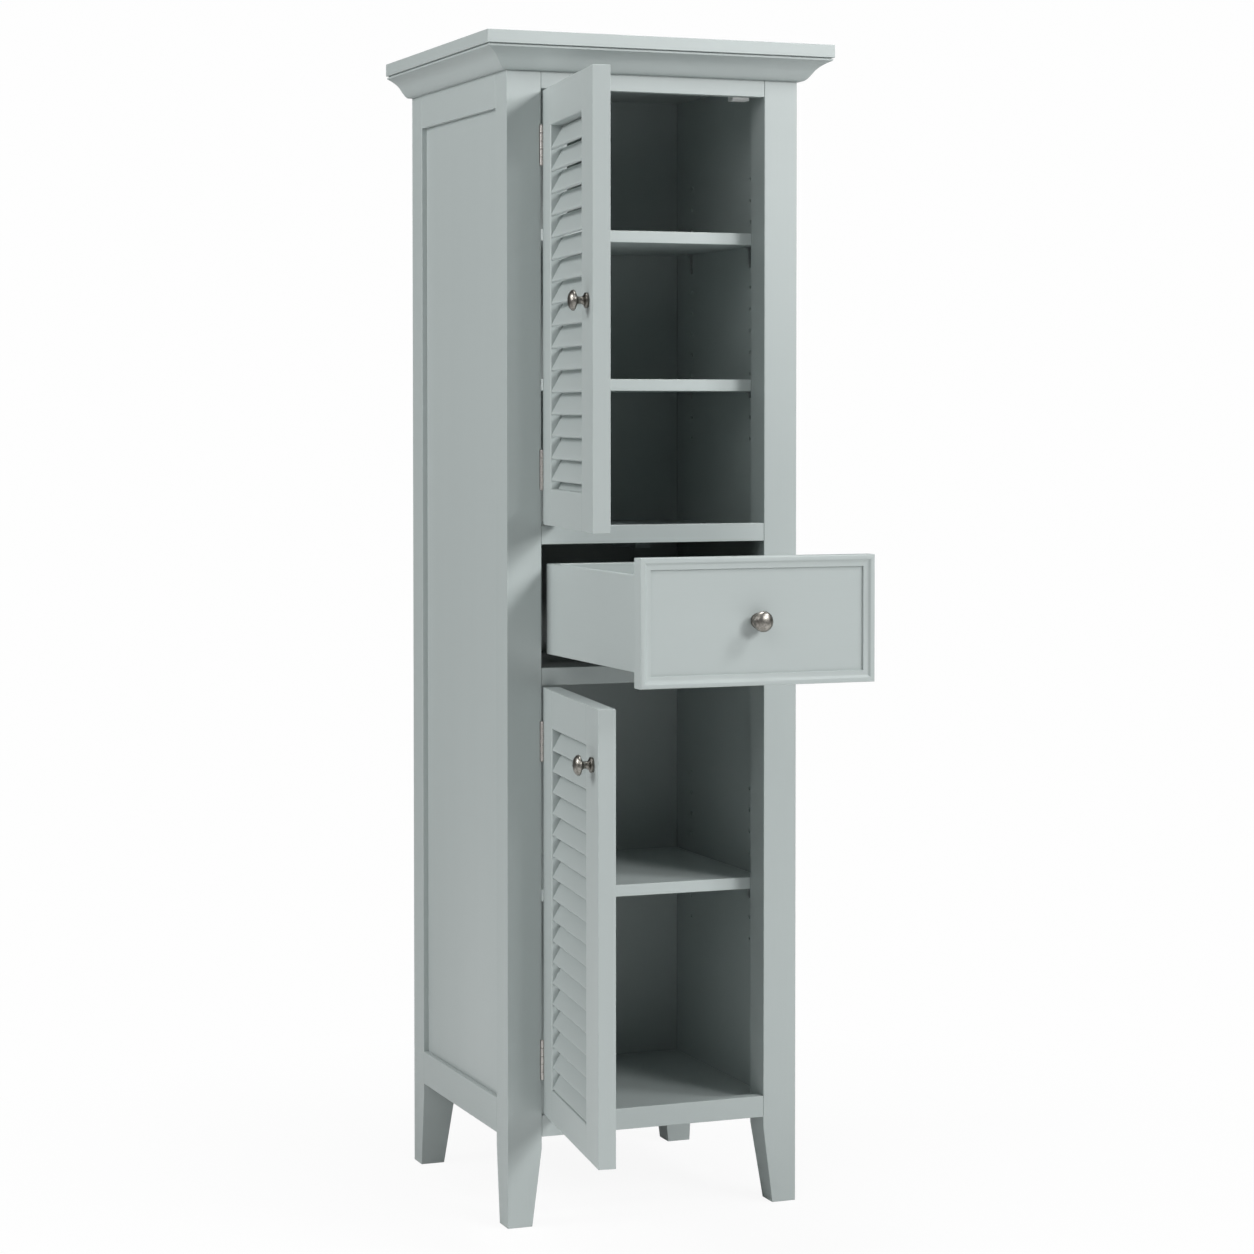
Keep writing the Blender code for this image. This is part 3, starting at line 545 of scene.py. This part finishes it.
def hinge(prefix, level, z, frame_matrix):
    """A butt hinge: both leaves with their knuckles, pin ends and screws."""
    pivot = frame_matrix.to_translation()
    for kind, sx in (("fixed", -1), ("moving", 1)):
        source = f"{prefix}_{level}_hinge_{kind}_leaf"
        bm = bmesh.new()
        xs = sorted(sx * x for x in LEAF_FACES)
        half = HINGE_HEIGHT / 2
        block(bm, (xs[0], LEAF_FRONT, z - half), (xs[1], LEAF_BACK, z + half))
        pitch = HINGE_HEIGHT / KNUCKLES
        for i in range(0 if kind == "fixed" else 1, KNUCKLES, 2):
            low, high = z - half + i * pitch + KNUCKLE_GAP, z - half + (i + 1) * pitch - KNUCKLE_GAP
            r, e = BARREL_RADIUS, BARREL_EASE
            lathe(bm, [(0.0, low), (r - e, low), (r, low + e), (r, high - e), (r - e, high), (0.0, high)], 28)
            block(bm, (xs[0], 0.0, low), (xs[1], 3.2 * MM, high))
        if kind == "fixed":
            cylinder(bm, 1.25 * MM, z - half - 0.5 * MM, z + half + 0.5 * MM, 16, Matrix.Identity(4))
        facing = Matrix.Rotation(-sx * math.pi / 2, 4, "Y")
        for dy, dz in HINGE_SCREWS:
            screw_head(bm, Matrix.Translation((sx * 0.76 * MM, dy * MM, z + dz * MM)) @ facing)
        place = Matrix.Translation(pivot) if kind == "fixed" else frame_matrix
        finish_mesh(bm, source + "_finish", NICKEL, body_of(source), [source],
                    place)


def fittings(prefix, body, stile, matrix):
    """On the free stile's inner face: the catch's strike plate with its two screws, and the knob's screw."""
    _, (_, back, high) = stile
    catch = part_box(prefix + "_catch")
    middle = (catch[0].x + catch[1].x) / 2 - matrix.to_translation().x
    level = min(high - 1.5 * MM, catch[1].z) - 6.5 * MM
    bm = bmesh.new()
    block(bm, (middle - STRIKE_HALF_X * MM, back, level - STRIKE_HALF_Z * MM),
          (middle + STRIKE_HALF_X * MM, back + 0.6 * MM, level + STRIKE_HALF_Z * MM))
    ease(bm, 0.2 * MM, 1)
    facing = Matrix.Rotation(-math.pi / 2, 4, "X")
    for x in (middle - STRIKE_SCREW * MM, middle + STRIKE_SCREW * MM):
        screw_head(bm, Matrix.Translation((x, back + 0.65 * MM, level)) @ facing, 2.6 * MM)
    knob_z = sum(p.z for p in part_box(prefix + "_door_knob")) / 2
    source = [matrix.inverted() @ v.co for v in NODES[prefix + "_door_knob"].data.vertices]
    knob_x = (min(p.x for p in source) + max(p.x for p in source)) / 2
    lathe(bm, [(r * MM, h * MM) for r, h in PAN_SCREW], 24,
          Matrix.Translation((knob_x, back, knob_z)) @ facing)
    finish_mesh(bm, prefix + "_door_fittings", STEEL, body, (),
                matrix)


def door(prefix):
    matrix = door_frame(prefix)
    inverse = matrix.inverted()
    body = prefix + "_door"
    boxes = {p: local_box(f"{prefix}_door_{p}", inverse) for p in
             ("hinge_stile", "free_stile", "top_rail", "bottom_rail")}
    low, high = boxes["hinge_stile"][0].z, boxes["hinge_stile"][1].z
    heights = {"top": high - HINGE_INSET, "bottom": low + HINGE_INSET}
    for piece, (a, b) in boxes.items():
        source = f"{prefix}_door_{piece}"
        bm = bmesh.new()
        block(bm, a, b)
        ease(bm, 0.6 * MM if "stile" in piece else 0.4 * MM)
        mat = PAINT["Z"] if "stile" in piece else PAINT["X"]
        obj = finish_mesh(bm, source + "_finish", mat, body, [source], matrix)
        carve(obj, opening_lip(boxes, LIP_TOP[prefix]))
        if piece == "hinge_stile":
            carve(obj, hinge_pockets(1, heights.values()))
        settle_normals(obj)
    fittings(prefix, body, boxes["free_stile"], matrix)
    left, right = boxes["hinge_stile"][1].x, boxes["free_stile"][0].x
    y = (boxes["hinge_stile"][0].y + boxes["hinge_stile"][1].y) / 2
    bm = bmesh.new()
    slats(bm, left - 2 * MM, right + 2 * MM, y, boxes["bottom_rail"][1].z - 1 * MM,
          boxes["top_rail"][0].z + 1 * MM, *LOUVRES[prefix])
    finish_mesh(bm, prefix + "_door_slats", PAINT["X"], body, [prefix + "_door_louvres"],
                matrix)
    knob(prefix + "_door_knob_finish", prefix + "_door_knob", body)
    for level, z in heights.items():
        hinge(prefix, level, z, matrix)
    return heights


HINGE_HEIGHTS = [z for prefix in ("upper", "lower") for z in door(prefix).values()]

# The hinged post is the mirror of the plain one, with hinge pockets.
bm = node_bmesh("front_right_post")
bmesh.ops.transform(bm, matrix=Matrix.Scale(-1, 4, (1, 0, 0)), verts=bm.verts)
ease(bm, 0.6 * MM)
bmesh.ops.recalc_face_normals(bm, faces=bm.faces)
pivot = door_frame("upper").to_translation()
bmesh.ops.translate(bm, vec=-pivot, verts=bm.verts)
post = finish_mesh(bm, "front_left_post_finish", PAINT["Z"], "carcass", ["front_left_post"],
                   Matrix.Translation(pivot))
carve(post, hinge_pockets(-1, HINGE_HEIGHTS))
settle_normals(post)

# ---------------------------------------------------------------- drawer
for n, axis in (("drawer_left_side", "Y"), ("drawer_right_side", "Y"), ("drawer_back", "X"),
                ("drawer_bottom", "X")):
    refined(n, PAINT[axis], 0.5 * MM if n == "drawer_bottom" else 1.3 * MM)
knob("drawer_knob_finish", "drawer_knob", "drawer")


def drawer_front():
    """The drawer's face: an ogee and a step down to a flat panel, as nested rings of a profile given in mm as
    distance in from the edge and depth."""
    low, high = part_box("drawer_front")
    edge = [(0.0, 22.5), (0.0, 1.5), (0.35, 0.6), (1.0, 0.12), (1.9, 0.0), (4.6, 0.0)]
    ogee = [(5.4, 0.08), (6.3, 0.42), (7.2, 1.05), (8.1, 1.8), (9.2, 2.42), (10.6, 2.9), (12.2, 3.22),
            (13.8, 3.4)]
    step = [(15.0, 3.45), (15.5, 3.6), (15.75, 4.0), (15.95, 6.1), (16.2, 6.45), (18.0, 6.5)]
    rows = []
    for inset, drop in edge + smooth_curve(ogee, 3) + step:
        i, y = inset * MM, low.y + drop * MM
        rows.append([(low.x + i, y, low.z + i), (high.x - i, y, low.z + i), (high.x - i, y, high.z - i),
                     (low.x + i, y, high.z - i)])
    bm = bmesh.new()
    rings(bm, rows)
    finish_mesh(bm, "drawer_front_finish", PAINT["X"], "drawer", ["drawer_front"],
                None, 30.0)


drawer_front()

for n in ("runner_fixed_rail", "runner_middle_rail", "runner_drawer_rail"):
    NODES[n].data.materials.clear()
    NODES[n].data.materials.append(STEEL)
for n in ("upper_catch", "lower_catch"):
    refined(n, PLASTIC, 0.6 * MM)

# ---------------------------------------------------------------- crown
def crown():
    """The cap board, and the three mouldings under it: one profile, given in mm as distance out and height."""
    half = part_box("front_right_post")[1].x
    low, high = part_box("front_crown_moulding")
    base, top = low.z, high.z
    height = (top - base) / MM
    cove = [(8.3, 0.8), (9.8, 1.8), (11.8, 3.7), (14.4, 6.8), (17.1, 10.6), (19.7, 14.3), (22.7, 17.6),
            (26.3, 20.6), (30.6, 23.4), (35.0, 25.8), (38.8, 27.6)]
    quirk = [(39.25, 27.9), (39.4, 28.3), (39.4, 29.8), (39.1, 30.2), (37.4, 30.35), (37.4, height)]
    profile = [(0.0, 0.0), (6.5, 0.0), (7.4, 0.2)] + smooth_curve(cove, 5) + quirk
    profile = [(out * MM, up * MM) for out, up in profile] + [(0.0, height * MM)]

    def run(name, ends):
        """ends gives, for a distance out, the two end points (x, y) of that line of the moulding."""
        bm = bmesh.new()
        a, b = [], []
        for out, up in profile:
            p, q = ends(out)
            a.append(bm.verts.new((p[0], p[1], base + up)))
            b.append(bm.verts.new((q[0], q[1], base + up)))
        skin(bm, [a, b])
        axis = "X" if name.startswith("front") else "Y"
        finish_mesh(bm, name + "_finish", PAINT[axis], "carcass", [name], None, 28.0)

    run("front_crown_moulding", lambda o: ((-half - o, FRONT - o), (half + o, FRONT - o)))
    run("left_crown_moulding", lambda o: ((-half - o, REAR), (-half - o, FRONT - o)))
    run("right_crown_moulding", lambda o: ((half + o, FRONT - o), (half + o, REAR)))
    bm = bmesh.new()
    low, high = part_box("crown_cap")
    block(bm, low, high)
    ease(bm, 0.7 * MM)
    settle_normals(finish_mesh(bm, "crown_cap_finish", PAINT["X"], "carcass", ["crown_cap"]))


crown()

# ---------------------------------------------------------------- studio
AMBIENT = 0.02
BACKDROP = 0.99
FLOOR_LEVEL = -0.0004
FLOOR_FADE = (0.93, 1.0, 0.3, 1.3)  # backdrop's share in the floor, at two distances in metres
AIM = (0.0, 0.0, 0.9)
LIGHTS = (  # round lamps: name, place, diameter in metres, watts
    ("key", (2.3, -1.9, 3.5), 0.9, 59.0),
    ("left", (-2.9, 0.15, 2.3), 1.6, 65.0),
    ("top", (0.0, -0.3, 4.2), 1.5, 72.0),
    ("front", (2.2, -4.3, 2.9), 1.6, 144.0),
    ("front_left", (-2.6, -3.0, 3.4), 3.0, 50.0),
)


def lamp(name, place, size, energy):
    data = bpy.data.lights.new(name, "AREA")
    data.shape, data.size, data.energy = "DISK", size, energy
    obj = linked(name, data)
    obj.location = place
    obj.rotation_euler = (Vector(AIM) - Vector(place)).to_track_quat("-Z", "Y").to_euler()


def studio():
    scene = bpy.context.scene
    world = bpy.data.worlds.new("studio")
    scene.world = world
    world.use_nodes = True
    tree = world.node_tree
    back = tree.nodes["Background"]
    back.inputs["Color"].default_value = (1.0, 1.0, 1.0, 1.0)
    path = tree.nodes.new("ShaderNodeLightPath")
    strength = tree.nodes.new("ShaderNodeMapRange")
    strength.inputs["To Min"].default_value = AMBIENT
    strength.inputs["To Max"].default_value = BACKDROP
    tree.links.new(path.outputs["Is Camera Ray"], strength.inputs["Value"])
    tree.links.new(strength.outputs["Result"], back.inputs["Strength"])
    scene.view_settings.view_transform = "Standard"

    bm = bmesh.new()
    bmesh.ops.create_grid(bm, x_segments=2, y_segments=2, size=30.0)
    data = bpy.data.meshes.new("studio_floor")
    bm.to_mesh(data)
    bm.free()
    floor = linked("studio_floor", data)
    floor.location = (0, 0, FLOOR_LEVEL)
    mat, tree, shader, coords = new_material("studio_floor")
    shader.inputs["Base Color"].default_value = (0.86, 0.86, 0.86, 1.0)
    shader.inputs["Roughness"].default_value = 0.9
    glow = tree.nodes.new("ShaderNodeEmission")
    glow.inputs["Strength"].default_value = BACKDROP
    mixer = tree.nodes.new("ShaderNodeMixShader")
    path = tree.nodes.new("ShaderNodeLightPath")
    away = node(tree, "ShaderNodeVectorMath", (-900, -300), operation="LENGTH")
    tree.links.new(coords.outputs["Object"], away.inputs[0])
    share = map_range(tree, away.outputs["Value"], *FLOOR_FADE)
    amount = node(tree, "ShaderNodeMath", (-500, -300), operation="MULTIPLY")
    tree.links.new(path.outputs["Is Camera Ray"], amount.inputs[0])
    tree.links.new(share, amount.inputs[1])
    tree.links.new(amount.outputs[0], mixer.inputs["Fac"])
    tree.links.new(shader.outputs["BSDF"], mixer.inputs[1])
    tree.links.new(glow.outputs["Emission"], mixer.inputs[2])
    output = next(n for n in tree.nodes if n.type == "OUTPUT_MATERIAL")
    tree.links.new(mixer.outputs["Shader"], output.inputs["Surface"])
    data.materials.append(mat)

    for light in LIGHTS:
        lamp(*light)


studio()

# The photograph's camera
camera = linked("camera", bpy.data.cameras.new("camera"))
camera.location = (-1.6465, -4.1481, 1.1547)
camera.rotation_euler = (math.radians(90.0 - 1.786), 0.0, math.radians(-21.483))
camera.data.sensor_width = 36.0
camera.data.lens = 89.403
camera.data.shift_x = -0.01037
camera.data.shift_y = -0.09498
bpy.context.scene.camera = camera
